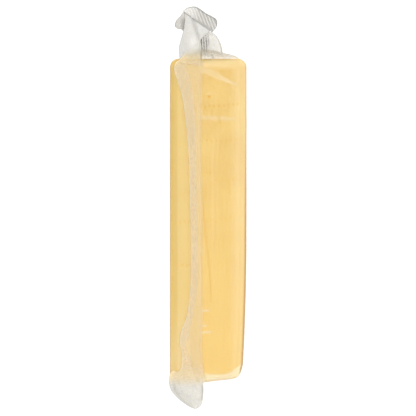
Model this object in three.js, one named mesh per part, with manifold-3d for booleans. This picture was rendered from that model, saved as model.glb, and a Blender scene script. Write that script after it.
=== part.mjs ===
// A wedge of pale hard cheese in clear shrink film, in millimetres with +Z up.
//
// The cheese is a sector of a flat wheel. It lies on its lower cut face, with the point of the
// wedge towards -Y, the heel (the outside of the wheel) towards +Y, and the wheel's two flat
// faces at -X and +X. The other cut face is on top and climbs towards the heel.
//
// The film is one web, folded round the cheese. Its two long margins are welded into a fin that
// lies folded to -X on the upper cut face, and its ends are welded and shrunk into ears.
// The origin is on the underside of the film, half way from the point to the heel.

import * as THREE from "three";
import { mergeVertices } from "three/addons/utils/BufferGeometryUtils.js";
import Module from "manifold-3d";

const wasm = await Module();
wasm.setup();

// The cheese
const WHEEL_THICKNESS = 37.4;
const WHEEL_RADIUS = 184;
const TIP_RADIUS = 25.7; // the thin point is cut off this far from the wheel's centre
const WEDGE_ANGLE = THREE.MathUtils.degToRad(19.7);
const EDGE_RADIUS = 4;
const TIP_NARROWING = 2.1; // the +X face leans in by this much at the point
const TIP_SLANT = 0.13; // the cut at the point runs askew, in mm per mm across
const UNEVEN_REACH = 75; // how far up from the point the cheese is uneven

// The film
const FILM_THICKNESS = 0.3;
const CLEARANCE = 0.3; // between two layers, and between the film and the cheese
const FILM_SKIN = CLEARANCE + FILM_THICKNESS;

// The fin and the ears. Their places are on the upper cut face, with y along it from the end of
// the wedge as seen square to that face, which lies this far from the wheel's centre.
const FACE_START = 25;
const FIN_ROOT = -3.3;
const FIN_RAMP = 2; // the film climbs from the cheese to the fin's upper layer over this width
const FIN_STEPS = 24;

// Steps of the meshes
const ROUND_STEPS = 2; // in each half of a rounded edge
const ACROSS_STEPS = 3;
const ALONG_STEPS = 14;
const UP_STEPS = 4;
const RING_STEPS = 16; // round an ear

const { lerp } = THREE.MathUtils;

// ---------------------------------------------------------------- solids and meshes

function solidOf(positions, triangles) {
  const geometry = new THREE.BufferGeometry();
  geometry.setAttribute("position", new THREE.Float32BufferAttribute(positions, 3));
  geometry.setIndex(triangles);
  const merged = mergeVertices(geometry);
  const mesh = new wasm.Mesh({
    numProp: 3,
    vertProperties: new Float32Array(merged.attributes.position.array),
    triVerts: new Uint32Array(merged.index.array),
  });
  return new wasm.Manifold(mesh);
}

function meshOf(name, solid, material) {
  const { vertProperties, triVerts } = solid.getMesh();
  const geometry = new THREE.BufferGeometry();
  geometry.setAttribute("position", new THREE.BufferAttribute(vertProperties, 3));
  geometry.setIndex(new THREE.BufferAttribute(triVerts, 1));
  geometry.computeVertexNormals();
  const mesh = new THREE.Mesh(geometry, material);
  mesh.name = name;
  return mesh;
}

// A closed body through a row of rings that follow each other up the wedge. Each ring is the
// same number of points, turning from +X to +Z.
function loft(rings) {
  const size = rings[0].length;
  const positions = rings.flat().flatMap((point) => point.toArray());
  const triangles = [];
  for (let row = 0; row + 1 < rings.length; row++) {
    for (let column = 0; column < size; column++) {
      const here = row * size + column;
      const beside = row * size + ((column + 1) % size);
      triangles.push(here, beside + size, beside, here, here + size, beside + size);
    }
  }
  const cap = THREE.ShapeUtils.triangulateShape(rings[0].map(flatten), []);
  const last = (rings.length - 1) * size;
  for (const [a, b, c] of cap) {
    triangles.push(a, b, c, last + a, last + c, last + b);
  }
  return solidOf(positions, triangles);
}

function flatten(point) {
  return new THREE.Vector2(point.x, point.z);
}

// ---------------------------------------------------------------- the wedge's body

// How uneven the cheese is, from 1 at the point to 0 further up.
function unevenness(radius) {
  return Math.max(0, 1 - (radius - TIP_RADIUS) / UNEVEN_REACH) ** 2;
}

// Where the vertices lie along one side of the body: `place` runs from 0 to 1 over the part
// between the two rounded edges, and `lean` turns from -1 to 1 round them.
function stations(flatSteps) {
  const turns = [];
  for (let step = 1; step <= ROUND_STEPS; step++) {
    turns.push(Math.tan((Math.PI / 4) * (step / ROUND_STEPS)));
  }
  const list = turns.toReversed().map((turn) => ({ place: 0, lean: -turn }));
  for (let step = 0; step <= flatSteps; step++) {
    list.push({ place: step / flatSteps, lean: 0 });
  }
  return [...list, ...turns.map((turn) => ({ place: 1, lean: turn }))];
}

// A point on the body: the end of a stalk that stands on a core inset by EDGE_RADIUS.
function bodyPoint(across, along, up, grow) {
  const coreHalf = WHEEL_THICKNESS / 2 - EDGE_RADIUS;
  const coreRadius = lerp(TIP_RADIUS + EDGE_RADIUS, WHEEL_RADIUS - EDGE_RADIUS, along.place);
  const uneven = unevenness(coreRadius);
  const x = lerp(-coreHalf, coreHalf - TIP_NARROWING * uneven, across.place);
  const radius = coreRadius + TIP_SLANT * uneven * x;
  const margin = Math.asin(EDGE_RADIUS / radius);
  const angle = lerp(margin, WEDGE_ANGLE - margin, up.place);
  const facing = WEDGE_ANGLE * up.place;
  const stalk = new THREE.Vector3(across.lean, along.lean, up.lean).setLength(EDGE_RADIUS + grow);
  return new THREE.Vector3(
    x + stalk.x,
    radius * Math.cos(angle) + stalk.y * Math.cos(facing) - stalk.z * Math.sin(facing),
    radius * Math.sin(angle) + stalk.y * Math.sin(facing) + stalk.z * Math.cos(facing),
  ).add(wheelCentre);
}

const wheelCentre = new THREE.Vector3(0, -(TIP_RADIUS + WHEEL_RADIUS) / 2, FILM_SKIN);

// The closed surface that lies `grow` outside the cheese.
function body(grow) {
  const across = stations(ACROSS_STEPS);
  const along = stations(ALONG_STEPS);
  const up = stations(UP_STEPS);
  const positions = [];
  const triangles = [];

  function face(columns, rows, pointAt) {
    const start = positions.length / 3;
    for (const row of rows) {
      for (const column of columns) {
        positions.push(...pointAt(column, row).toArray());
      }
    }
    for (let row = 0; row + 1 < rows.length; row++) {
      for (let column = 0; column + 1 < columns.length; column++) {
        const here = start + row * columns.length + column;
        const above = here + columns.length;
        triangles.push(here, here + 1, above + 1, here, above + 1, above);
      }
    }
  }

  const low = (list) => list[0];
  const high = (list) => list[list.length - 1];
  face(across, along, (x, y) => bodyPoint(x, y, high(up), grow));
  face(along, across, (y, x) => bodyPoint(x, y, low(up), grow));
  face(along, up, (y, z) => bodyPoint(high(across), y, z, grow));
  face(up, along, (z, y) => bodyPoint(low(across), y, z, grow));
  face(up, across, (z, x) => bodyPoint(x, high(along), z, grow));
  face(across, up, (x, z) => bodyPoint(x, low(along), z, grow));
  return solidOf(positions, triangles);
}

// ---------------------------------------------------------------- the fin and the ears

// Takes x across the upper cut face, y up along it and z off the cheese to the part's frame.
const ontoUpperFace = new THREE.Matrix4()
  .makeRotationX(WEDGE_ANGLE)
  .setPosition(
    wheelCentre.x,
    wheelCentre.y + FACE_START * Math.cos(WEDGE_ANGLE),
    wheelCentre.z + FACE_START * Math.sin(WEDGE_ANGLE),
  );

function onUpperFace(rings) {
  return loft(rings.map((ring) => ring.map((point) => point.applyMatrix4(ontoUpperFace))));
}

// The fin's free edge, from the point to the heel.
const finEdge = new THREE.CatmullRomCurve3(
  [
    [-13.2, 6],
    [-13.2, 13],
    [-14, 21],
    [-11.4, 31],
    [-9.3, 42],
    [-8.6, 60],
    [-9, 88],
    [-9.8, 114],
    [-11.5, 132],
    [-13.6, 144],
    [-16.2, 152],
    [-16, 158],
  ].map(([x, y]) => new THREE.Vector3(x, y, 0)),
);

// Sweeps a section, given as [x, z] corners for a free edge at x = edge, along the fin.
function alongFin(section) {
  const rings = finEdge
    .getSpacedPoints(FIN_STEPS)
    .map((edge) => section(edge.x).map(([x, z]) => new THREE.Vector3(x, edge.y, z)));
  return onUpperFace(rings);
}

const FIN_LOWER_LAYER = FILM_SKIN + CLEARANCE;
const FIN_SLOT = FIN_LOWER_LAYER + FILM_THICKNESS;
const FIN_UPPER_LAYER = FIN_SLOT + CLEARANCE;
const FIN_TOP = FIN_UPPER_LAYER + FILM_THICKNESS;

// Both layers of the fin, and the film that climbs to them at its root.
function finSection(edge) {
  const inFilm = CLEARANCE + FILM_THICKNESS / 2;
  return [
    [edge, FIN_TOP],
    [edge, FIN_LOWER_LAYER],
    [FIN_ROOT - FILM_THICKNESS, FIN_LOWER_LAYER],
    [FIN_ROOT - FILM_THICKNESS, inFilm],
    [FIN_ROOT + FIN_RAMP, inFilm],
    [FIN_ROOT + FIN_RAMP / 2, FIN_TOP],
  ];
}

// The slit between the two layers, which opens into the wrap at the root.
function slitSection(edge) {
  const inWrap = CLEARANCE / 2;
  return [
    [edge - 1, FIN_UPPER_LAYER],
    [edge - 1, FIN_SLOT],
    [FIN_ROOT, FIN_SLOT],
    [FIN_ROOT, inWrap],
    [FIN_ROOT + CLEARANCE, inWrap],
    [FIN_ROOT + CLEARANCE, FIN_UPPER_LAYER],
  ];
}

// A flattened bag of film through stations of [y, middle x, half width, middle z, half depth].
function gathered(list) {
  const rings = list.map(([y, middle, halfWidth, level, halfDepth]) => {
    const ring = [];
    for (let step = 0; step < RING_STEPS; step++) {
      const turn = (2 * Math.PI * step) / RING_STEPS;
      const x = middle + halfWidth * Math.cos(turn);
      ring.push(new THREE.Vector3(x, y, level + halfDepth * Math.sin(turn)));
    }
    return ring;
  });
  return onUpperFace(rings);
}

function heelEars() {
  const tent = gathered([
    [154, 0, 16, -13, 12],
    [160, 1, 13, -7, 6],
    [165, 0, 8, -3, 2.5],
  ]);
  const back = gathered([
    [158, 2, 5, -5, 2],
    [163, 2, 4.8, -5, 1.5],
    [168, 1.7, 3.6, -4.5, 1],
    [171.5, 1.2, 2, -4, 0.8],
    [173, 1, 0.6, -4, 0.5],
  ]);
  const front = gathered([
    [152, -9.5, 6, 0.9, 0.7],
    [158, -9.5, 6.2, 0.9, 0.8],
    [165, -9, 5.5, 0.8, 1.4],
    [169, -8.5, 5, 1, 1.6],
    [172, -6.3, 6.2, 1, 1.6],
    [176, -6.2, 9.9, 1, 1.4],
    [180, -6.3, 8.2, 1, 1.2],
    [183.5, -7.6, 3.6, 1, 0.9],
    [185, -7, 1, 1, 0.5],
  ]);
  return tent.add(back).add(front);
}

function tipEar() {
  const ear = gathered([
    [-13, -6.2, 0.8, -0.9, 0.4],
    [-11, -7.5, 3.6, -0.7, 0.6],
    [-8, -9.2, 6, -0.4, 0.7],
    [-4, -10.3, 8, 0, 0.8],
    [1, -10.9, 8.3, 0.5, 0.9],
    [5, -10.2, 7, 0.9, 0.8],
    [9, -8.2, 4.8, 1.2, 0.6],
  ]);
  const tent = gathered([
    [-5, -8, 6, -0.6, 0.8],
    [-1.5, -5, 10, -2, 1.4],
    [5, -1.5, 14, -3.5, 2.6],
  ]);
  return tent.add(ear);
}

// ---------------------------------------------------------------- the two pieces

function cheese() {
  const material = new THREE.MeshStandardMaterial({ color: 0xf3d084, roughness: 0.5, metalness: 0 });
  return meshOf("cheese", body(0), material);
}

function filmWrap() {
  const material = new THREE.MeshStandardMaterial({ color: 0xf2efe6, roughness: 0.15, metalness: 0 });
  const outside = body(FILM_SKIN).add(alongFin(finSection)).add(heelEars()).add(tipEar());
  const inside = body(CLEARANCE).add(alongFin(slitSection));
  return meshOf("film_wrap", outside.subtract(inside), material);
}

const group = new THREE.Group();
group.add(cheese(), filmWrap());

export default group;
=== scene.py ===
"""A wedge of pale hard cheese in clear shrink film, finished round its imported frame."""

import math

import bpy
import numpy as np
from mathutils import Matrix, Vector, noise


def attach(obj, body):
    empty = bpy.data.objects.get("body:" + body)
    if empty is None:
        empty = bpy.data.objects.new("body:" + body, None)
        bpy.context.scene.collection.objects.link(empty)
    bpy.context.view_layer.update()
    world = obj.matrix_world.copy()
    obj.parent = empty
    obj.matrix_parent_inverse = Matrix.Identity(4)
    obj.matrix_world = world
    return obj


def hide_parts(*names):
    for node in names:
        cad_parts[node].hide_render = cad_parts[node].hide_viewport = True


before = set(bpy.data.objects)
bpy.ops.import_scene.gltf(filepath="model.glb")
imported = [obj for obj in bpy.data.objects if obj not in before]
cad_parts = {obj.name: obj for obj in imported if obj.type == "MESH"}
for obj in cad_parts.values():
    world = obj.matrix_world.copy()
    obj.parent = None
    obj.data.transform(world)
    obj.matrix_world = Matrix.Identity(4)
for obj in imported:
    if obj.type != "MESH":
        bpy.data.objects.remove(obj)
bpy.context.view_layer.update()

# ------------------------------------------------------------------ driving dimensions

MM = 0.001

# The cheese: a sector of a flat wheel, lying on one cut face (millimetres, as in the CAD part)
WHEEL_THICKNESS = 37.4
WHEEL_RADIUS = 184.0
TIP_RADIUS = 25.7
WEDGE_ANGLE = math.radians(19.7)
EDGE_RADIUS = 4.0
TIP_NARROWING = 2.1
TIP_SLANT = 0.13
UNEVEN_REACH = 75.0
FACE_START = 25.0  # places along the upper cut face count from this far out of the wheel's centre
WHEEL_CENTRE = np.array([0.0, -(TIP_RADIUS + WHEEL_RADIUS) / 2, 0.6])

# The film
FILM_INSIDE = 0.26  # how far the film's inner side lies off the plain sector
FILM_THICKNESS = 0.08
PAINTED_SHADE_HAZE = 0.6  # how much the painted shade of folds, pleats and edges adds to the haze
MOST_MARK = 0.92  # the most that a sheet's marks reach
FIN_ROOT = -3.3  # where the fin is folded over, across the face

# The camera looks square on the upper cut face, from this far away, at this place across and
# along it, where the picture is this wide
CAMERA_DISTANCE = 1500.0
CAMERA_CENTRE = (-0.1, 85.9)
FRAME_WIDTH = 205.3
SENSOR_WIDTH = 36.0

# ------------------------------------------------------------------ places on the upper face

FACE_UP = np.array([0.0, math.cos(WEDGE_ANGLE), math.sin(WEDGE_ANGLE)])
FACE_OUT = np.array([0.0, -math.sin(WEDGE_ANGLE), math.cos(WEDGE_ANGLE)])
FACE_ORIGIN = WHEEL_CENTRE + FACE_START * FACE_UP


def from_face(across, along, out):
    """Takes places across, along and off the upper cut face to the part's frame."""
    across, along, out = np.broadcast_arrays(across, along, out)
    side = across[..., None] * np.array([1.0, 0.0, 0.0])
    return FACE_ORIGIN + side + along[..., None] * FACE_UP + out[..., None] * FACE_OUT


def to_face(points):
    """The places of points across, along and off the upper cut face."""
    offset = points - FACE_ORIGIN
    return points[..., 0], offset @ FACE_UP, offset @ FACE_OUT


# ------------------------------------------------------------------ numbers and noise

def blend(low, high, value):
    """Goes smoothly from 0 at low to 1 at high, and falls where low is above high."""
    share = np.clip((value - low) / (high - low), 0.0, 1.0)
    return share * share * (3.0 - 2.0 * share)


def bump(centre, width, value):
    """A rounded hill of height 1 and half width `width`."""
    return np.exp(-(((value - centre) / width) ** 2))


def rough(points, size, seed=0.0, octaves=3):
    """Smooth noise from about -1 to 1 whose largest lumps are about `size` millimetres."""
    flat = np.asarray(points).reshape(-1, 3) / size + seed
    values = [noise.fractal(Vector(p), 0.7, 2.1, octaves) for p in flat]
    return np.array(values).reshape(np.asarray(points).shape[:-1])


def curve(points, samples):
    """A smooth curve through points, sampled at `samples` places evenly along its length."""
    points = np.array(points, float)
    knots = np.concatenate([[0.0], np.cumsum(np.linalg.norm(np.diff(points, axis=0), axis=1))])
    slopes = np.gradient(points, knots, axis=0)
    at = knots[-1] * np.asarray(samples)
    piece = np.clip(np.searchsorted(knots, at, side="right") - 1, 0, len(points) - 2)
    span = (knots[piece + 1] - knots[piece])[:, None]
    t = (at - knots[piece])[:, None] / span
    start, end = points[piece], points[piece + 1]
    leave, arrive = slopes[piece] * span, slopes[piece + 1] * span
    return (
        (2 * t**3 - 3 * t**2 + 1) * start
        + (t**3 - 2 * t**2 + t) * leave
        + (3 * t**2 - 2 * t**3) * end
        + (t**3 - t**2) * arrive
    )


# ------------------------------------------------------------------ meshes

def mesh_object(name, points, faces, material, marks, flat_faces=0):
    """A mesh of points in millimetres, its last faces flat. `marks` are numbers on its vertices."""
    mesh = bpy.data.meshes.new(name)
    mesh.from_pydata((points * MM).tolist(), [], faces.tolist())
    mesh.update()
    smooth = np.ones(len(faces), bool)
    smooth[len(faces) - flat_faces:] = False
    mesh.polygons.foreach_set("use_smooth", smooth)
    for mark, values in marks.items():
        attribute = mesh.attributes.new(mark, "FLOAT", "POINT")
        attribute.data.foreach_set("value", np.asarray(values, np.float32).ravel())
    mesh.materials.append(material)
    piece = bpy.data.objects.new(name, mesh)
    bpy.context.scene.collection.objects.link(piece)
    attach(piece, "root")
    return piece


def grid_faces(rows, columns, start=0):
    """Quads of a grid of vertices stored row by row."""
    index = start + np.arange(rows * columns).reshape(rows, columns)
    corners = [index[:-1, :-1], index[:-1, 1:], index[1:, 1:], index[1:, :-1]]
    return np.stack(corners, axis=-1).reshape(-1, 4)


def grid_normals(points):
    """Unit normals of a grid of points."""
    down = np.gradient(points, axis=0)
    along = np.gradient(points, axis=1)
    normal = np.cross(along, down)
    return normal / np.maximum(np.linalg.norm(normal, axis=-1, keepdims=True), 1e-9)


def film_sheet(name, points, material, haze, painted_shade=0.0, warm_and_highlight=0.0):
    """A closed thin sheet of film whose middle follows a grid of points, marked with haze, painted
    shade and a warm tint that is partly painted highlight.
    """
    rows, columns = points.shape[:2]
    offset = grid_normals(points) * FILM_THICKNESS / 2
    both = np.concatenate([(points + offset).reshape(-1, 3), (points - offset).reshape(-1, 3)])
    count = rows * columns
    front = grid_faces(rows, columns)
    back = grid_faces(rows, columns, count)[:, ::-1]
    index = np.arange(count).reshape(rows, columns)
    border = np.concatenate([index[0, :-1], index[:-1, -1], index[-1, :0:-1], index[:0:-1, 0]])
    following = np.roll(border, -1)
    rim = np.stack([following, border, border + count, following + count], axis=-1)
    marks = {"haze": haze + PAINTED_SHADE_HAZE * np.asarray(painted_shade), "painted_shade": painted_shade, "warm_and_highlight": warm_and_highlight}
    for mark, values in marks.items():
        values = np.clip(np.broadcast_to(values, (rows, columns)), 0.0, MOST_MARK)
        marks[mark] = np.tile(values.ravel(), 2)
    faces = np.concatenate([front, back, rim])
    return mesh_object(name, both, faces, material, marks, flat_faces=len(rim))


# ------------------------------------------------------------------ the wedge's body

def stations(flat_steps, round_steps):
    """Where vertices lie along one side: places over its flat part, and leans round its edges."""
    turns = np.tan(np.pi / 4 * np.arange(1, round_steps + 1) / round_steps)
    places = np.concatenate(
        [np.zeros(round_steps), np.linspace(0, 1, flat_steps + 1), np.ones(round_steps)]
    )
    leans = np.concatenate([-turns[::-1], np.zeros(flat_steps + 1), turns])
    return places, leans


def body_points(across, along, up, grow):
    """Points that lie `grow` outside the plain sector, each pair being a place and a lean."""
    core_half = WHEEL_THICKNESS / 2 - EDGE_RADIUS
    low, high = TIP_RADIUS + EDGE_RADIUS, WHEEL_RADIUS - EDGE_RADIUS
    core_radius = low + (high - low) * along[0]
    uneven = np.clip(1 - (core_radius - TIP_RADIUS) / UNEVEN_REACH, 0, None) ** 2
    x = -core_half + (2 * core_half - TIP_NARROWING * uneven) * across[0]
    radius = core_radius + TIP_SLANT * uneven * x
    margin = np.arcsin(EDGE_RADIUS / radius)
    angle = margin + (WEDGE_ANGLE - 2 * margin) * up[0]
    facing = WEDGE_ANGLE * up[0]
    stalk = np.stack(np.broadcast_arrays(across[1], along[1], up[1]), axis=-1)
    stalk = stalk / np.linalg.norm(stalk, axis=-1, keepdims=True) * (EDGE_RADIUS + grow)
    cos, sin = np.cos(facing), np.sin(facing)
    return WHEEL_CENTRE + np.stack(
        [
            x + stalk[..., 0],
            radius * np.cos(angle) + stalk[..., 1] * cos - stalk[..., 2] * sin,
            radius * np.sin(angle) + stalk[..., 1] * sin + stalk[..., 2] * cos,
        ],
        axis=-1,
    )


def body_surface(steps, round_steps, *grows):
    """The quads of the wedge's closed surface, and its points at each distance off the sector."""
    sides = [stations(flat, round_steps) for flat in steps]
    layers, faces, start = [[] for grow in grows], [], 0
    for fixed in range(3):
        first, second = [axis for axis in range(3) if axis != fixed]
        for end in (0, -1):
            rows, columns = len(sides[first][0]), len(sides[second][0])
            place = [None] * 3
            place[first] = [values[:, None] for values in sides[first]]
            place[second] = [values[None, :] for values in sides[second]]
            place[fixed] = [np.full((1, 1), values[end]) for values in sides[fixed]]
            for layer, grow in zip(layers, grows):
                layer.append(body_points(*place, grow).reshape(-1, 3))
            quads = grid_faces(rows, columns, start)
            outward = (end == 0) == (fixed == 1)
            faces.append(quads[:, ::-1] if outward else quads)
            start += rows * columns
    layers = [np.concatenate(layer) for layer in layers]
    keys = np.round(layers[0], 4)
    kept, joined = np.unique(keys, axis=0, return_index=True, return_inverse=True)[1:]
    return joined.ravel()[np.concatenate(faces)], *[layer[kept] for layer in layers]


# ------------------------------------------------------------------ materials

# Colours as display values from 0 to 255
CURD_DARK = (226, 187, 95)
CURD_LIGHT = (233, 198, 109)
CURD_AT_POINT = (243, 202, 104)
CURD_GRAIN = (241, 208, 130)
# painted shade: the left of the face, duller as if less lit
CURD_LEFT_SHADE = (229, 199, 120)
# painted highlight on the face's borders, the film's lines and other light places
CURD_PAINTED_HIGHLIGHT = (255, 240, 205)
CURD_OPENING = (228, 176, 50)
# painted shade: the cheese's sides, darker as if turned from the light
CURD_SIDE_SHADE = (192, 146, 74)
MILK = (235, 233, 227)
# warm, lighter milk: the cheese's tint through the film, and a painted highlight on the film's
# light lines
MILK_WARM_HIGHLIGHT = (255, 236, 188)
# painted shade: the film's grey in folds, pleats, outlines and turned-away parts
MILK_PAINTED_SHADE = (92, 90, 86)

# What clear film lets through, seen square on and at a grazing angle
GLAZE_FACING = (0.995, 0.995, 0.99, 1.0)
GLAZE_GRAZING = (0.90, 0.88, 0.83, 1.0)
WHITE = (1.0, 1.0, 1.0, 1.0)

# How fine each noise is, per metre
CURD_LUMPS = 60.0
CURD_SPECKS = 900.0
CURD_BUMPS = 700.0
FILM_SPECKS = 1500.0
FILM_CRINKLES = 500.0

POINT_TINT = (0.03, -0.07)  # the cheese takes the point's colour between these places, in metres
TRANSLUCENT_SHARE = 0.18
SHINE = (0.014, 0.5)  # the film's share of gloss, square on and at a grazing angle


class Nodes:
    """Makes the nodes of one material."""

    def __init__(self, name):
        self.material = bpy.data.materials.new(name)
        self.material.use_nodes = True
        self.tree = self.material.node_tree
        self.tree.nodes.clear()

    def set_input(self, node, key, value):
        """Links a socket to an input, or gives the input a plain value."""
        if isinstance(value, bpy.types.NodeSocket):
            self.tree.links.new(value, node.inputs[key])
        else:
            node.inputs[key].default_value = value

    def add(self, kind, inputs=None, **settings):
        """A node of a kind, with its settings and inputs."""
        node = self.tree.nodes.new(kind)
        for key, value in settings.items():
            setattr(node, key, value)
        for key, value in (inputs or {}).items():
            self.set_input(node, key, value)
        return node

    def mark(self, name):
        """A number kept on the mesh's vertices."""
        return self.add("ShaderNodeAttribute", attribute_name=name).outputs["Fac"]

    def place(self):
        """The place on the object, in metres."""
        return self.add("ShaderNodeTexCoord").outputs["Object"]

    def noise(self, scale, detail=3.0):
        """Noise from 0 to 1."""
        inputs = {"Vector": self.place(), "Scale": scale, "Detail": detail, "Roughness": 0.55}
        return self.add("ShaderNodeTexNoise", inputs).outputs["Fac"]

    def ranged(self, value, low, high, to_low=0.0, to_high=1.0):
        """Takes the range from low to high to another one."""
        inputs = {
            "Value": value,
            "From Min": low,
            "From Max": high,
            "To Min": to_low,
            "To Max": to_high,
        }
        return self.add("ShaderNodeMapRange", inputs).outputs["Result"]

    def math(self, operation, first, second):
        """One step of arithmetic."""
        node = self.add("ShaderNodeMath", {0: first, 1: second}, operation=operation)
        return node.outputs[0]

    def mix_colour(self, share, first, second):
        """The first colour, with a share of the second."""
        node = self.add("ShaderNodeMix", data_type="RGBA")
        for key, value in ((0, share), (6, first), (7, second)):
            self.set_input(node, key, value)
        return node.outputs[2]

    def mix_shader(self, share, first, second):
        """The first surface, with a share of the second."""
        return self.add("ShaderNodeMixShader", {0: share, 1: first, 2: second}).outputs[0]

    def finish(self, surface):
        """The material with this surface."""
        self.add("ShaderNodeOutputMaterial", {"Surface": surface})
        return self.material


def rgb(red, green, blue):
    """A colour given as display values from 0 to 255."""
    linear = []
    for value in (red, green, blue):
        share = value / 255
        linear.append(share / 12.92 if share <= 0.04045 else ((share + 0.055) / 1.055) ** 2.4)
    return (*linear, 1.0)


def cheese_material():
    """Mottled curd, with openings, painted shade and painted highlights where the mesh is marked.
    """
    nodes = Nodes("cheese")
    lumps = nodes.noise(CURD_LUMPS, 4.0)
    specks = nodes.noise(CURD_SPECKS)
    mottled = nodes.mix_colour(nodes.ranged(lumps, 0.35, 0.65), rgb(*CURD_DARK), rgb(*CURD_LIGHT))
    lengthwise = nodes.add("ShaderNodeSeparateXYZ", {"Vector": nodes.place()}).outputs["Y"]
    near_point = nodes.ranged(lengthwise, *POINT_TINT, 0.0, 0.7)
    colour = nodes.mix_colour(near_point, mottled, rgb(*CURD_AT_POINT))
    tints = (
        (nodes.ranged(specks, 0.4, 0.62, 0.0, 0.3), CURD_GRAIN),
        (nodes.mark("left_shade"), CURD_LEFT_SHADE),
        (nodes.mark("painted_highlight"), CURD_PAINTED_HIGHLIGHT),
        (nodes.mark("fissure"), CURD_OPENING),
        (nodes.mark("side_shade"), CURD_SIDE_SHADE),
    )
    for share, tint in tints:
        colour = nodes.mix_colour(share, colour, rgb(*tint))
    bumps = nodes.noise(CURD_BUMPS, 4.0)
    relief = nodes.add("ShaderNodeBump", {"Strength": 0.25, "Distance": 0.0004, "Height": bumps})
    shader = nodes.add(
        "ShaderNodeBsdfPrincipled",
        {
            "Base Color": colour,
            "Roughness": 0.6,
            "Specular IOR Level": 0.25,
            "Subsurface Weight": 0.2,
            "Subsurface Scale": 0.004,
            "Subsurface Radius": (1.0, 0.6, 0.25),
            "Normal": relief.outputs["Normal"],
        },
    )
    return nodes.finish(shader.outputs["BSDF"])


def film_material():
    """Clear film that turns milky where the mesh is marked with haze, darkened by painted shade and
    given a warm, lighter tint, partly a painted highlight, where marked so.
    """
    nodes = Nodes("film")
    specks = nodes.ranged(nodes.noise(FILM_SPECKS, 2.0), 0.35, 0.65, 0.94, 1.05)
    haze = nodes.math("MULTIPLY", nodes.mark("haze"), specks)
    crinkles = nodes.noise(FILM_CRINKLES, 4.0)
    relief = nodes.add(
        "ShaderNodeBump", {"Strength": 0.18, "Distance": 0.0002, "Height": crinkles}
    )
    normal = relief.outputs["Normal"]
    facing = nodes.add("ShaderNodeLayerWeight", {"Blend": 0.5, "Normal": normal}).outputs["Facing"]
    # warm, lighter milk where marked, partly a painted highlight
    tinted = nodes.mix_colour(nodes.mark("warm_and_highlight"), rgb(*MILK), rgb(*MILK_WARM_HIGHLIGHT))
    # painted shade darkens the milk where it is marked
    milk_colour = nodes.mix_colour(nodes.mark("painted_shade"), tinted, rgb(*MILK_PAINTED_SHADE))
    milk = nodes.mix_shader(
        TRANSLUCENT_SHARE,
        nodes.add("ShaderNodeBsdfDiffuse", {"Color": milk_colour, "Normal": normal}).outputs[0],
        nodes.add("ShaderNodeBsdfTranslucent", {"Color": milk_colour}).outputs[0],
    )
    glaze = nodes.mix_colour(nodes.math("POWER", facing, 3.0), GLAZE_FACING, GLAZE_GRAZING)
    clear = nodes.add("ShaderNodeBsdfTransparent", {"Color": glaze}).outputs[0]
    hazy = nodes.mix_shader(haze, clear, milk)
    gloss = nodes.add("ShaderNodeBsdfGlossy", {"Color": WHITE, "Roughness": 0.16, "Normal": normal})
    shine = nodes.ranged(nodes.math("POWER", facing, 5.0), 0.0, 1.0, *SHINE)
    return nodes.finish(nodes.mix_shader(shine, hazy, gloss.outputs[0]))


# ------------------------------------------------------------------ the wedge's outline

SOFT_CORNER = (11.0, 9.3)  # the middle of the rounding of the corner beside the point
CORNER_DRAW = 0.10  # the share of its reach that the corner is drawn in
HEEL_BULGE = 0.6
HEEL_BULGE_RISE = (140.0, 159.0)


def round_corner(points):
    """Draws in the face's corner beside the point, away from the fin."""
    across, along, out = to_face(points)
    aside = np.clip(across - SOFT_CORNER[0], 0, None)
    below = np.clip(SOFT_CORNER[1] - along, 0, None)
    square = (2 * aside * below / np.maximum(aside**2 + below**2, 1e-9)) ** 2
    drawn = CORNER_DRAW * square
    return from_face(across - drawn * aside, along + drawn * below, out)


def heel_bulge(along):
    """How far the heel stands out beyond the plain sector."""
    return HEEL_BULGE * blend(*HEEL_BULGE_RISE, along)[:, None] * FACE_UP


def surface_normals(points, faces):
    """Unit normals at the vertices of a mesh of quads."""
    corner = points[faces]
    face_normal = np.cross(corner[:, 2] - corner[:, 0], corner[:, 3] - corner[:, 1])
    normal = np.zeros_like(points)
    for side in range(4):
        np.add.at(normal, faces[:, side], face_normal)
    return normal / np.maximum(np.linalg.norm(normal, axis=1, keepdims=True), 1e-12)


# ------------------------------------------------------------------ lines in the film

# The two slanting ridges: where they start along the face, their fall to the right, the places
# across between which they fall, how strong and wide they are, and where they end
RIDGES = [
    (153.8, 7.4, (-2.0, 16.0), 1.0, 0.8, (16.5, 13.5)),
    (152.6, 4.6, (-3.5, 11.0), 0.9, 0.7, (11.5, 8.0)),
]
BAND_PLACE = 130.4
BAND_SLANT = -0.05
BAND_WIDTH = 1.1
BAND_END = (17, 12)
# The short dashes beside the fin: where each lies along the face and how far across it reaches
DASHES = [(35.0, 0.6), (27.6, -0.4), (24.3, 1.8)]
DASH_SLANT = 0.12
DASH_WIDTH = 0.5


def film_lines(across, along):
    """Where the film has light lines: slanting ridges, a band, short dashes. They raise and whiten
    the film a little and are painted as highlights on the cheese and the film.
    """
    ridges = np.zeros(across.shape)
    for start, fall, slope, strength, width, end in RIDGES:
        ridge = bump(start - fall * blend(*slope, across), width, along)
        ridges += strength * ridge * blend(*end, across)
    band = bump(BAND_PLACE + BAND_SLANT * across, BAND_WIDTH, along) * blend(*BAND_END, across)
    dashes = np.zeros(across.shape)
    for place, reach in DASHES:
        dash = bump(place + DASH_SLANT * (across - FIN_ROOT), DASH_WIDTH, along)
        dashes += dash * blend(reach + 0.6, reach - 1.0, across)
    return [lines * blend(-5, -3, across) for lines in (ridges, band, dashes)]


# ------------------------------------------------------------------ the cheese

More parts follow.
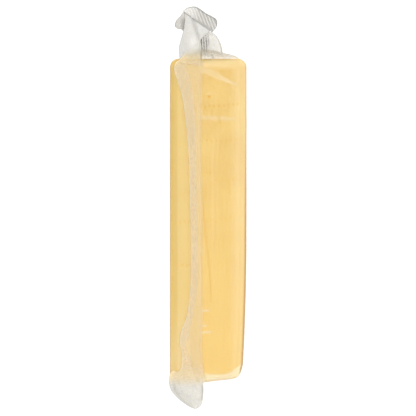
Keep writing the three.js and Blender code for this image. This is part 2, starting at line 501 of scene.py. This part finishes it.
CHEESE_STEPS = (110, 560, 50)  # quads across, along and up
CHEESE_ROUND_STEPS = 6
CHEESE_GROW = 0.19  # how far its mean surface lies outside the plain sector
CHEESE_LUMP_SIZE = 14.0
CHEESE_LUMP_HEIGHT = 0.05
FISSURE_DEPTH = 0.11
GROOVE_DEPTH = 0.04

# Rows of curd openings on the cut face: along it, from and to across it, rise and strength
FISSURES = [
    (135.0, -7.5, 15.0, 2.2, 1.0),
    (117.0, -16.0, -9.0, 1.0, 0.5),
    (118.6, -3.5, 14.5, 0.6, 0.9),
    (102.6, -3.5, 2.5, 0.6, 0.5),
    (99.3, 4.5, 14.0, 0.4, 0.9),
    (79.3, -15.5, -9.0, 0.3, 0.6),
    (79.0, -3.5, 12.0, 2.0, 0.8),
    (58.0, -15.5, -8.5, -0.5, 0.8),
    (58.2, 3.0, 14.0, -0.8, 0.35),
    (92.8, -15.0, -8.0, 0.5, 0.4),
]
FISSURE_WIDTH = 0.42
# Short upright cracks: across, from and to along it, and strength
CRACKS = [(5.6, 126.0, 131.0, 0.4), (-1.6, 91.0, 98.0, 0.2), (10.3, 92.3, 98.7, 0.25)]
CRACK_WIDTH = 0.38
# One small hole and the painted highlight above it: places across and along, and half widths
CAVITY = (0.3, 140.8)
CAVITY_SIZE = (0.8, 0.6)
CAVITY_GLOW = (0.3, 142.4)
CAVITY_GLOW_SIZE = (1.0, 0.7)
# The long groove right of the fin drifts left towards the heel
GROOVE_PLACE = 1.0
GROOVE_DRIFT = 3.6
GROOVE_BEND = (45, 92)
GROOVE_START = (36, 46)
GROOVE_END = (94, 84)
GROOVE_WIDTH = 0.5
# Two faint upright lines of painted highlight: across, and strength and half width
UPRIGHT_LINES = [(2.2, 0.1, 0.5), (4.6, 0.08, 0.4)]
HIGHLIGHT_CORNER = (6.0, 16.0)  # the middle of the painted highlight round the corner beside the point
HIGHLIGHT_CORNER_REACH = (11.0, 13.2)


def spot(centre, size, across, along):
    """A rounded hill at a place on the face."""
    return bump(centre[0], size[0], across) * bump(centre[1], size[1], along)


def fissure_marks(across, along, on_face):
    """How deep each point lies in a curd opening, from 0 to 1."""
    depth = np.zeros(across.shape)
    for number, (start, low, high, rise, strength) in enumerate(FISSURES):
        share = np.clip((across - low) / (high - low), 0, 1)
        wander = 0.45 * np.sin(across * 1.3 + number) + 0.3 * np.sin(across * 3.1 + 2 * number)
        line = bump(start + rise * share + wander, FISSURE_WIDTH, along)
        ends = blend(low - 0.6, low + 0.6, across) * blend(high + 0.6, high - 0.6, across)
        dots = blend(-0.1, 0.75, np.sin(across * 2.7 + 1.7 * number) + 0.5 * np.sin(across * 5.3))
        middle = 0.6 + 0.6 * np.sin(np.pi * share)
        depth = np.maximum(depth, strength * middle * line * ends * dots)
    for place, low, high, strength in CRACKS:
        line = bump(place + 0.35 * np.sin(along * 1.1), CRACK_WIDTH, across)
        ends = blend(low - 0.5, low + 0.5, along) * blend(high + 0.5, high - 0.5, along)
        depth = np.maximum(depth, strength * line * ends)
    return np.maximum(depth, spot(CAVITY, CAVITY_SIZE, across, along)) * on_face


def groove_marks(across, along, on_face):
    """How deep each point lies in the long groove, from 0 to 1."""
    line = GROOVE_PLACE - GROOVE_DRIFT * blend(*GROOVE_BEND, along)
    ends = blend(*GROOVE_START, along) * blend(*GROOVE_END, along)
    return bump(line, GROOVE_WIDTH, across) * ends * on_face


def left_shade_marks(across, along, on_face):
    """Painted shade: the part of the face left of the fin's root, made duller as if less lit, with
    streaks at the far left.
    """
    streak = 0.2 * np.sin(across * 2.9 + 0.02 * along) + 0.12 * np.sin(across * 6.1)
    left = 0.5 * blend(-2.5, -4.5, across)
    far_left = (0.35 + streak) * blend(-9, -14, across)
    return (left + far_left) * on_face


def painted_highlight_marks(across, along, out, on_face):
    """Painted highlights: along the face's borders and round the corner beside the point, on its
    upright lines, over the lines of the film, at the lower left and above the hole.
    """
    border = np.maximum(0.24 * blend(9.0, 16.5, across), 0.36 * blend(153.0, 156.5, along))
    corner = np.hypot(
        np.clip(across - HIGHLIGHT_CORNER[0], 0, None), np.clip(HIGHLIGHT_CORNER[1] - along, 0, None)
    )
    streaks = 0.8 + 0.2 * np.sin(4.5 * corner + 0.6 * np.sin(across))
    at_corner = streaks * blend(*HIGHLIGHT_CORNER_REACH, corner) * blend(-0.5, 1.0, along)
    ridges, band, dashes = film_lines(across, along)
    drawn = 0.34 * ridges + 0.26 * band + 0.48 * dashes
    right = np.maximum(np.maximum(border, at_corner), drawn)
    lines = sum(strength * bump(place, width, across) for place, strength, width in UPRIGHT_LINES)
    right = right + lines * blend(60, 75, along) * blend(128, 118, along)
    left = 0.2 * blend(45.0, 8.0, along) * blend(-8.0, -10.0, across)
    painted_highlight = (right * blend(-6, -2, across) + left) * blend(-3.4, -1.6, out)
    return np.maximum(painted_highlight, 0.2 * spot(CAVITY_GLOW, CAVITY_GLOW_SIZE, across, along) * on_face)


def side_shade_marks(across, along, out, normal):
    """Painted shade on the sides, as if they were turned from the light; it starts nearer the face
    at the lower right.
    """
    lower_right = (across > 0) * blend(140, 70, along)
    sideways = np.abs(normal[:, 0])
    side_shade = blend(0.80 - 0.12 * lower_right, 0.97 - 0.07 * lower_right, sideways)
    return side_shade * (0.3 + 0.7 * blend(-9.0, -5.0, out)) * (0.6 + 0.4 * lower_right)


def cheese():
    """The cheese itself."""
    faces, points = body_surface(CHEESE_STEPS, CHEESE_ROUND_STEPS, 0.0)
    across, along, out = to_face(points)
    normal = surface_normals(points, faces)
    on_face = blend(-1.2, -0.2, out)
    groove = groove_marks(across, along, on_face)
    openings = 1.4 * fissure_marks(across, along, on_face) + 0.45 * groove
    fissure = np.clip(openings, 0, 1)
    marks = {
        "fissure": fissure,
        # painted shade on the sides and the left of the face, painted highlights on the face
        "side_shade": side_shade_marks(across, along, out, normal),
        "left_shade": left_shade_marks(across, along, on_face),
        "painted_highlight": painted_highlight_marks(across, along, out, on_face),
    }
    lumps = CHEESE_LUMP_HEIGHT * rough(points, CHEESE_LUMP_SIZE)
    grow = CHEESE_GROW + lumps - FISSURE_DEPTH * fissure - GROOVE_DEPTH * groove
    points = round_corner(points + normal * grow[:, None] + heel_bulge(along))
    piece = mesh_object("cheese_wedge", points, faces, cheese_material(), marks)
    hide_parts("cheese")


# ------------------------------------------------------------------ the film round the cheese

BODY_STEPS = (60, 420, 50)  # quads across, along and up
BODY_ROUND_STEPS = 5
BODY_HAZE = 0.008
BODY_WAVE_SIZE = 22.0
BODY_WAVE_HEIGHT = 0.04

HEEL_GATHER = (-2.0, -4.0)  # where the film is drawn together at the heel: across and out
HEEL_TENT = 4.6  # how far the film is drawn out there
TENT_CREST = 164.4
TENT_REACH_LEFT = 11.5
TENT_REACH_RIGHT = 18.0
TENT_RISE = (155.5, 158.5)
TENT_PLEATS_BEHIND = 17
TENT_PLEATS_BEFORE = 30
PLEAT_HEIGHT = 0.35
FREE_FILM = (159.4, 160.3)  # beyond these places along the face, the film is off the cheese


def heel_tent(points):
    """The film's lift along the face where it is drawn into the heel's ears, and its pleats."""
    across, along, out = to_face(points)
    aside = across - HEEL_GATHER[0]
    above = out - HEEL_GATHER[1]
    reach = TENT_REACH_LEFT + (TENT_REACH_RIGHT - TENT_REACH_LEFT) * blend(-2.0, 2.0, aside)
    distance = np.hypot(aside, above * 1.2)
    near = np.clip(1 - distance / reach, 0, 1) * blend(*TENT_RISE, along)
    lift = HEEL_TENT * near**0.7 * blend(0.0, 0.12, near)
    turn = np.arctan2(above, aside)
    behind = np.sin(TENT_PLEATS_BEHIND * turn + 1.5 * np.sin(3 * turn) + 0.4 * distance)
    fan = np.arctan2(TENT_CREST - along - lift, aside + 2.0)
    before = np.sin(TENT_PLEATS_BEFORE * fan + 2.0 * np.sin(7 * fan))
    pleats = before + (behind - before) * blend(-2.5, -4.5, out)
    pleats = pleats * (0.65 + 0.35 * np.sin(5 * turn + 1.0)) * blend(0.0, 0.3, near)
    return lift, pleats * blend(0.95, 0.7, near)


def film_body(material):
    """The film that lies on the cheese, and its tent at the heel."""
    faces, outer, inner = body_surface(
        BODY_STEPS, BODY_ROUND_STEPS, FILM_INSIDE + FILM_THICKNESS, FILM_INSIDE
    )
    across, along, out = to_face(outer)
    on_face = blend(-0.8, 0.1, out)
    ridges, band, dashes = film_lines(across, along)
    waves = BODY_WAVE_HEIGHT * rough(outer, BODY_WAVE_SIZE, seed=7.0, octaves=2)
    height = on_face * (0.03 * ridges + 0.02 * band + 0.02 * dashes) + waves
    lift, pleats = heel_tent(outer)
    shift = surface_normals(outer, faces) * np.clip(height, -0.05, None)[:, None]
    shift = shift + (lift + PLEAT_HEIGHT * pleats)[:, None] * FACE_UP + heel_bulge(along)
    points = round_corner(np.concatenate([outer + shift, inner + shift]))
    quads = np.concatenate([faces, faces[:, ::-1] + len(outer)])
    marked = on_face * (0.05 * ridges + 0.03 * band + 0.06 * dashes)
    free = blend(*FREE_FILM, along + lift)
    marks = {
        "haze": BODY_HAZE + marked + free * (0.18 + 0.32 * np.abs(pleats)),
        # painted shade in the hollows of the tent's pleats
        "painted_shade": 0.35 * free * np.clip(-pleats, 0, 1),
        # a warm painted highlight on the film's lines
        "warm_and_highlight": blend(0.0, 0.05, marked),
    }
    marks = {mark: np.tile(values, 2) for mark, values in marks.items()}
    return mesh_object("film_body", points, quads, material, marks)


# ------------------------------------------------------------------ the fin and the point's ear

# The fin's free edge and its root, as pairs of places (across, along), from the point's ear to
# the heel's
FIN_EDGE = [
    (-6.8, -13.3), (-9.5, -12.1), (-12.1, -10.4), (-15.9, -7.2), (-18.6, -3.4), (-19.4, 0.8),
    (-18.6, 4.4), (-17.3, 5.6), (-15.7, 4.9), (-14.0, 6.2), (-13.2, 8.4), (-13.1, 13.3),
    (-14.0, 20.7), (-13.4, 25.0), (-11.2, 30.6), (-9.3, 41.5), (-8.6, 58.7), (-9.0, 89.8),
    (-9.8, 115.0), (-11.5, 132.0), (-13.5, 143.6), (-15.8, 150.5), (-16.9, 155.0),
    (-16.0, 157.7), (-13.6, 159.6), (-11.0, 162.4), (-8.5, 164.8), (-4.3, 168.0),
]
FIN_ROOT_LINE = [
    (-5.6, -13.2), (-4.0, -12.0), (-3.1, -10.4), (-2.5, -7.0), (-2.3, -4.0), (-2.4, -1.5),
    (-2.5, 0.5), (-2.6, 2.0), (-2.8, 3.5), (-3.0, 6.0), (-3.3, 9.0), (-3.7, 14.0), (-3.9, 20.0),
    (-3.8, 24.5), (-3.3, 30.6), (-3.25, 41.5), (-3.25, 58.7), (-3.3, 89.8), (-3.8, 115.0),
    (-3.8, 132.0), (-3.8, 143.6), (-3.6, 150.5), (-3.4, 155.0), (-3.35, 157.7), (-3.4, 160.0),
    (-3.6, 163.0), (-3.8, 166.0), (-4.0, 168.2),
]
# Where the welded band of the fin begins, counted along the fin: along and across
FIN_SEAL = [
    (1.5, -6.2), (4.4, -7.3), (7.9, -8.3), (11.8, -8.8), (13.6, -10.0), (16.8, -11.2),
    (18.5, -11.3), (22.0, -9.6), (30.6, -8.2), (40.5, -6.0), (55.3, -5.0), (89.8, -5.8),
    (125.3, -6.0), (140.6, -7.5), (149.0, -9.0), (156.0, -11.0), (163.0, -12.0),
]
FIN_ROWS = 520
FIN_COLUMNS = 36
FIN_SKIRT = -0.12  # the share of the fin's width by which it laps over its root
# The ear's lower web at the point, from its right fold to its welded edge
TIP_ROOT = [(-5.6, -13.2), (-3.1, -10.4), (-2.5, -7.0), (-2.3, -4.0), (-2.4, -0.9)]
TIP_EDGE = [(-6.6, -13.2), (-12.1, -10.4), (-15.9, -7.2), (-18.6, -3.4), (-19.2, -0.9)]
TIP_ROWS = 60
TIP_COLUMNS = 30
TIP_LOW = -0.9  # how far off the face the lower web starts
TIP_DEPTH = 2.4


def ruled(first, second, rows, shares):
    """Places across and along on straight rulings between two curves given side by side."""
    both = np.concatenate([np.array(first, float), np.array(second, float)], axis=1)
    lines = curve(both, np.linspace(0, 1, rows))
    start, end = lines[:, None, :2], lines[:, None, 2:]
    places = start + (end - start) * np.asarray(shares)[None, :, None]
    return places[..., 0], places[..., 1]


def on_plane(across, along):
    """Places across and along as points, for noise."""
    return np.stack([across, along, np.zeros_like(across)], axis=-1)


def fin_grid(share):
    """Places over the fin, which laps over its root only where it lies on the cheese."""
    root_across, root_along = ruled(FIN_ROOT_LINE, FIN_EDGE, FIN_ROWS, [0.0])
    edge_across, edge_along = ruled(FIN_ROOT_LINE, FIN_EDGE, FIN_ROWS, [1.0])
    reach = np.where(share < 0, share * blend(-1.0, 2.0, root_along), share)
    across = root_across + (edge_across - root_across) * reach
    along = root_along + (edge_along - root_along) * reach
    return across, along


def film_fin(material):
    """The welded fin, folded flat on the face, with the point's ear at its lower end."""
    share = np.linspace(FIN_SKIRT, 1, FIN_COLUMNS)[None, :]
    across, along = fin_grid(share)
    flat = on_plane(across, along)
    crumple = 0.9 * rough(flat, 7.0, seed=11.0, octaves=4)
    dimples = rough(flat, 0.9, seed=5.0, octaves=2)
    border = np.interp(along, *np.array(FIN_SEAL).T)
    seal = blend(0.35, -0.35, across - border)
    # the parts of the fin's length
    ear = blend(6.0, -2.0, along)
    lower = blend(10.0, 3.0, along)
    near_ear = blend(30.0, 8.0, along)
    over_heel = bump(159.5, 2.5, along)
    top = blend(157.0, 166.0, along)
    # the lines along it
    edge_line = blend(0.92, 0.98, share)
    root_line = bump(0.03, 0.025, share)
    hem = bump(0.86, 0.03, share) * ear
    fold = bump(0.04, 0.02, share) * blend(-1.0, -2.0, along) * blend(-10.0, -8.0, along)
    heel_painted_shade = bump(0.0, 0.035, share) * bump(161.2, 3.0, along)

    climb = blend(FIN_SKIRT, 0.02, share)
    belly = np.sin(np.pi * np.clip(share, 0, 1))
    waves = 0.10 * rough(flat, 6.0, seed=3.0)
    out = 0.42 + 0.5 * climb - 0.1 * blend(0.2, 1.0, share)
    out = out + waves * climb * blend(0.1, 0.6, share)
    out = out + ear * (0.4 * crumple + 0.9 * belly - 0.9) + 0.05 * np.clip(along, None, 0)
    out = out + top * (2.4 + 0.3 * crumple) + 0.05 * dimples * seal

    haze = 0.06 + 0.15 * seal * (1 + 0.7 * dimples) + 0.35 * edge_line + 0.05 * root_line
    haze = haze + 0.06 * top + 0.16 * over_heel * blend(0.0, 0.2, share) + 0.05 * near_ear
    haze = haze + (0.43 + 0.08 * crumple) * lower + 0.25 * ear * bump(0.07, 0.025, share)
    haze = haze * (0.1 + 0.9 * blend(FIN_SKIRT, -0.01, share))
    # warm tint where the fin lies on the cheese, partly a painted highlight along its edge and over
    # the heel
    warm_and_highlight = (0.3 + 0.3 * edge_line + 0.15 * near_ear) * (1 - ear) * (1 - top)
    warm_and_highlight = warm_and_highlight + lower * (0.03 + 0.4 * blend(-3.5, 2.5, along))
    warm_and_highlight = warm_and_highlight + 0.5 * top * blend(166.0, 158.0, along) + 0.6 * over_heel
    # painted shade: the ear's hem, fold line and crumples, and a dark line at the fin's root over
    # the heel
    painted_shade = ear * (0.05 + 0.22 * hem + 0.35 * fold + 0.05 * np.clip(crumple, 0, 1))
    painted_shade = painted_shade + 0.9 * heel_painted_shade
    return film_sheet("film_fin", from_face(across, along, out), material, haze, painted_shade, warm_and_highlight)


def tip_back(material):
    """The lower web of the point's ear."""
    share = np.linspace(0, 1, TIP_COLUMNS)
    across, along = ruled(TIP_ROOT, TIP_EDGE, TIP_ROWS, share)
    depth = TIP_DEPTH * np.sin(np.pi * share)[None, :] * blend(-13.0, -6.0, along)
    out = TIP_LOW - depth + 0.4 * rough(on_plane(across, along), 6.0, seed=41.0)
    # a little painted shade over the whole web
    return film_sheet("tip_back", from_face(across, along, out), material, 0.12, 0.08)


# ------------------------------------------------------------------ the heel's ears

# The flap under the fin's end at the heel, from the cheese up to the fold
FLAP_LEFT = [
    (-13.9, 158.0), (-14.3, 161.2), (-14.4, 165.3), (-13.4, 169.3), (-12.3, 173.2), (-11.5, 176.7),
    (-11.9, 182.6),
]
FLAP_RIGHT = [
    (-3.5, 156.0), (-3.5, 159.5), (-3.7, 164.0), (-4.1, 167.8), (-2.8, 169.7), (-1.1, 171.1),
    (1.0, 173.3),
]
FLAP_ROWS = 120
FLAP_COLUMNS = 60
FLAP_HAZE = 0.48
FLAP_RISE = 2.6
FLAP_BULGE = (-8.2, 167.5)
FLAP_BULGE_SIZE = (3.6, 4.5)
# a painted highlight on the flap's bulge, where its painted shade is lighter
FLAP_SHINE = (-7.6, 167.2)
FLAP_SHINE_SIZE = (2.2, 3.0)
# The crimped end beyond the fold, from left to right along it
CRIMP_FOLD = [
    (-12.3, 182.0), (-10.6, 181.2), (-8.8, 179.9), (-6.6, 178.1), (-4.4, 176.5), (-2.4, 175.2),
    (-0.6, 174.2), (0.6, 173.5), (1.3, 173.0), (1.7, 172.6),
]
CRIMP_TOP = [
    (-12.7, 182.8), (-10.4, 184.6), (-6.3, 185.2), (-4.0, 184.0), (-1.0, 181.9), (2.0, 180.3),
    (4.1, 178.8), (4.5, 177.0), (3.9, 174.9), (2.4, 172.9),
]
CRIMP_ROWS = 190
CRIMP_COLUMNS = 70
CRIMP_RIB = 1.4  # from one rib to the next
CRIMP_RIB_HEIGHT = 0.16
CRIMP_LEAN = math.radians(21.0)
CRIMP_RIBBED = (0.16, 0.28)  # the shares of its width between which the ribs begin
# The curled edge left of the flap
CURL_OUTER = [
    (-12.4, 173.2), (-13.2, 174.0), (-14.6, 174.2), (-15.7, 174.6), (-16.4, 175.8), (-16.3, 177.0),
    (-15.4, 178.7), (-13.5, 180.8), (-12.4, 182.4),
]
CURL_INNER = [
    (-12.2, 173.2), (-12.1, 173.7), (-12.0, 174.2), (-11.9, 174.8), (-11.8, 175.8), (-11.6, 177.0),
    (-11.5, 178.6), (-11.7, 180.6), (-11.9, 182.2),
]
CURL_HALF_THICKNESS = 1.5
CURL_HAZE = 0.42
# The drawn-in lower web behind
BACK_LEFT = [
    (-4.4, 161.6), (-4.6, 162.8), (-4.7, 164.2), (-4.6, 166.0), (-4.0, 168.3), (-2.6, 170.6),
    (-0.6, 172.6),
]
BACK_RIGHT = [
    (7.2, 161.0), (7.1, 162.6), (6.9, 164.2), (6.5, 166.0), (5.6, 168.4), (4.0, 170.9),
    (1.6, 173.0),
]
BACK_HALF_THICKNESS = 2.6
BACK_HAZE = 0.22
BACK_PLEATS = 5.2  # radians of a pleat's wave for each millimetre across
TUBE_ROWS = 90
TUBE_COLUMNS = 72


def heel_flap(material):
    """The flap from the cheese up to the fold, partly under the fin."""
    shares = np.linspace(0, 1, FLAP_COLUMNS)
    across, along = ruled(FLAP_LEFT, FLAP_RIGHT, FLAP_ROWS, shares)
    share = shares[None, :]
    length = np.linspace(0, 1, FLAP_ROWS)[:, None]
    flat = on_plane(across, along)
    valley = bump(-6.6 + 0.32 * (174.8 - along), 0.9, across) * blend(166, 170, along)
    out = 0.55 + FLAP_RISE * blend(157.0, 180.0, along) - 0.9 * valley
    out = out + 1.9 * spot(FLAP_BULGE, FLAP_BULGE_SIZE, across, along)
    out = out - 0.8 * bump(0.0, 0.12, share)
    out = out + 0.35 * rough(flat, 8.0, seed=21.0) + 0.02 * rough(flat, 0.9, seed=23.0, octaves=2)

    above_fin = blend(-0.4, 0.4, (along - 157.5) - 0.93 * (across + 15.6))
    under_fin = 1 - (1 - above_fin) * 0.5 * blend(161.5, 157.5, along)
    haze = FLAP_HAZE + 0.03 * rough(flat, 2.5, seed=25.0)
    haze = (haze + 0.25 * blend(0.95, 0.99, share) * above_fin) * under_fin
    warm_and_highlight = 0.8 * (1 - above_fin) * blend(166.0, 157.5, along)
    shine = spot(FLAP_SHINE, FLAP_SHINE_SIZE, across, along)
    # painted shade over the flap, deeper in its valley and at its sides and top, lighter at the
    # painted highlight on its bulge
    painted_shade = (0.17 + 0.12 * valley - 0.13 * shine) * under_fin
    sides = blend(0.03, 0.0, share) + blend(0.97, 1.0, share) * blend(160, 163, along)
    painted_shade = painted_shade + 0.2 * sides + 0.3 * blend(0.96, 1.0, length)
    return film_sheet("heel_flap", from_face(across, along, out), material, haze, painted_shade, warm_and_highlight)


def heel_crimp(material):
    """The ribbed end, folded over at the top of the flap."""
    shares = np.linspace(0, 1, CRIMP_COLUMNS)
    across, along = ruled(CRIMP_FOLD, CRIMP_TOP, CRIMP_ROWS, shares)
    share = shares[None, :]
    length = np.linspace(0, 1, CRIMP_ROWS)[:, None]
    phase = (across * math.cos(CRIMP_LEAN) + along * math.sin(CRIMP_LEAN)) / CRIMP_RIB
    rib = np.sin(2 * np.pi * phase)
    beyond_fold = blend(*CRIMP_RIBBED, share)
    ribbed = beyond_fold * blend(0.97, 0.88, share)
    # painted shade over the right part of the crimp, which also keeps more haze
    shaded_right = blend(-9.0, -3.0, across)
    border = blend(0.84, 0.93, share) + bump(1.0, 0.03, length)
    out = 2.4 - 0.9 * share + CRIMP_RIB_HEIGHT * rib * ribbed
    haze = 0.62 - 0.12 * (1 - shaded_right) * ribbed + 0.1 * border
    # painted shade in the rib hollows, along the border and below the ribs
    painted_shade = 0.04 + ribbed * np.clip(-rib, 0, 1) * 0.13 + 0.28 * border
    painted_shade = painted_shade + 0.23 * shaded_right * (1 - 0.8 * ribbed * np.clip(rib, 0, 1))
    painted_shade = painted_shade + 0.12 * (1 - beyond_fold)
    return film_sheet("heel_crimp", from_face(across, along, out), material, haze, painted_shade)


def tube(left, right, half_thickness):
    """A flattened tube between two contours, flat at both ends.

    Gives places across and along it, its length, how far each point is off its middle, and the
    painted shade along its rim.
    """
    turn = np.linspace(0.01, 2 * np.pi - 0.01, TUBE_COLUMNS)
    across, along = ruled(left, right, TUBE_ROWS, 0.5 - 0.5 * np.cos(turn))
    length = np.linspace(0, 1, TUBE_ROWS)[:, None]
    thick = half_thickness * np.clip(np.sin(np.pi * (0.04 + 0.94 * length)), 0, None) ** 0.6
    round_places = np.stack([across, along, np.sin(turn)[None, :] + 0 * across], axis=-1)
    lift = thick * np.sin(turn)[None, :] + 0.25 * rough(round_places, 3.0, seed=31.0)
    rim = 0.4 * blend(0.86, 0.97, np.abs(np.cos(turn)))[None, :]
    return across, along, length, lift, rim


def heel_curl(material):
    """The curled edge left of the flap."""
    across, along, length, lift, rim = tube(CURL_OUTER, CURL_INNER, CURL_HALF_THICKNESS)
    out = 1.1 + 1.0 * length + lift
    inner_side = blend(-14.6, -12.4, across) * blend(181, 178, along)
    # painted shade on the curl, deeper on its inner side and at its rim
    painted_shade = 0.08 + 0.3 * inner_side + rim
    points = from_face(across, along, out)
    return film_sheet("heel_curl", points, material, CURL_HAZE, painted_shade, rim)


def heel_back(material):
    """The pleated dome behind the flap."""
    across, along, length, lift, rim = tube(BACK_LEFT, BACK_RIGHT, BACK_HALF_THICKNESS)
    pleated = blend(1.0, -0.4, across)
    out = -5.5 + 5.0 * length + lift + 0.5 * pleated * np.sin(across * BACK_PLEATS + 1.5)
    haze = BACK_HAZE + 0.1 * bump(1.5, 2.2, across) * blend(161, 166, along)
    pleats = blend(-0.2, 0.8, np.sin(across * BACK_PLEATS + 0.3 * along))
    # painted shade in the pleats and along the rim
    painted_shade = 0.8 * pleated * bump(167, 4, along) * pleats + rim
    return film_sheet("heel_back", from_face(across, along, out), material, haze, painted_shade, rim)


def film_pieces():
    """Every piece of the film, all of one material."""
    material = film_material()
    builders = [film_body, film_fin, tip_back, heel_flap, heel_crimp, heel_curl, heel_back]
    for build in builders:
        piece = build(material)
        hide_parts("film_wrap")


# ------------------------------------------------------------------ camera, floor and lights

CAMERA_CLIP = 10.0
FLOOR_HALF = 3.0
FLOOR_GREY = (0.3, 0.3, 0.3, 1.0)
FLOOR_GLOW = 0.85
WORLD_LIGHT = 0.75
CLEAR_BOUNCES = 48
LIGHT_TARGET = Vector((0, 0, 0.03))
LIGHT_UP = Vector((0, 1, 0.1))
# Each light's name, place and size in metres, and power in watts
LIGHTS = [
    ("light_over", (0.1, -0.45, 1.3), (0.9, 0.9), 5),
    ("light_right", (1.1, 0.0, 0.7), (0.6, 0.9), 2.6),
    ("light_left", (-1.1, 0.1, 0.8), (0.6, 0.9), 1.1),
    ("light_behind", (0.0, 1.2, 0.8), (0.8, 0.6), 3.5),
]


def look_at(piece, target, up):
    """Turns a camera or light at its place to face the target."""
    back = (piece.location - target).normalized()
    right = up.cross(back).normalized()
    turn = Matrix((right, back.cross(right), back)).transposed()
    piece.rotation_euler = turn.to_euler()


def place_camera():
    """A camera that looks square on the upper cut face."""
    data = bpy.data.cameras.new("camera")
    data.sensor_width = SENSOR_WIDTH
    data.lens = SENSOR_WIDTH * CAMERA_DISTANCE / FRAME_WIDTH
    data.clip_end = CAMERA_CLIP
    camera = bpy.data.objects.new("camera", data)
    bpy.context.scene.collection.objects.link(camera)
    target = Vector(from_face(*map(np.float64, (*CAMERA_CENTRE, 0.0)))) * MM
    camera.location = target + Vector(FACE_OUT) * CAMERA_DISTANCE * MM
    look_at(camera, target, Vector((0, 0, 1)))
    bpy.context.scene.camera = camera


def place_floor():
    """A floor that glows just enough to show as plain white."""
    nodes = Nodes("floor")
    diffuse = nodes.add("ShaderNodeBsdfDiffuse", {"Color": FLOOR_GREY}).outputs[0]
    glow = nodes.add("ShaderNodeEmission", {"Color": WHITE, "Strength": FLOOR_GLOW}).outputs[0]
    material = nodes.finish(nodes.add("ShaderNodeAddShader", {0: diffuse, 1: glow}).outputs[0])
    corners = [(-1, -1, 0), (1, -1, 0), (1, 1, 0), (-1, 1, 0)]
    corners = [tuple(FLOOR_HALF * value for value in corner) for corner in corners]
    mesh = bpy.data.meshes.new("floor")
    mesh.from_pydata(corners, [], [(0, 1, 2, 3)])
    mesh.materials.append(material)
    floor = bpy.data.objects.new("floor", mesh)
    bpy.context.scene.collection.objects.link(floor)


def place_lights():
    """The area lights, and an even white world."""
    for name, place, size, power in LIGHTS:
        data = bpy.data.lights.new(name, "AREA")
        data.shape = "RECTANGLE"
        data.size, data.size_y = size
        data.energy = power
        light = bpy.data.objects.new(name, data)
        bpy.context.scene.collection.objects.link(light)
        light.location = place
        look_at(light, LIGHT_TARGET, LIGHT_UP)
    world = bpy.data.worlds.new("world")
    world.use_nodes = True
    background = world.node_tree.nodes["Background"]
    background.inputs["Color"].default_value = WHITE
    background.inputs["Strength"].default_value = WORLD_LIGHT
    scene = bpy.context.scene
    scene.world = world
    scene.view_settings.view_transform = "Standard"
    scene.cycles.transparent_max_bounces = CLEAR_BOUNCES


place_camera()
place_floor()
place_lights()
cheese()
film_pieces()
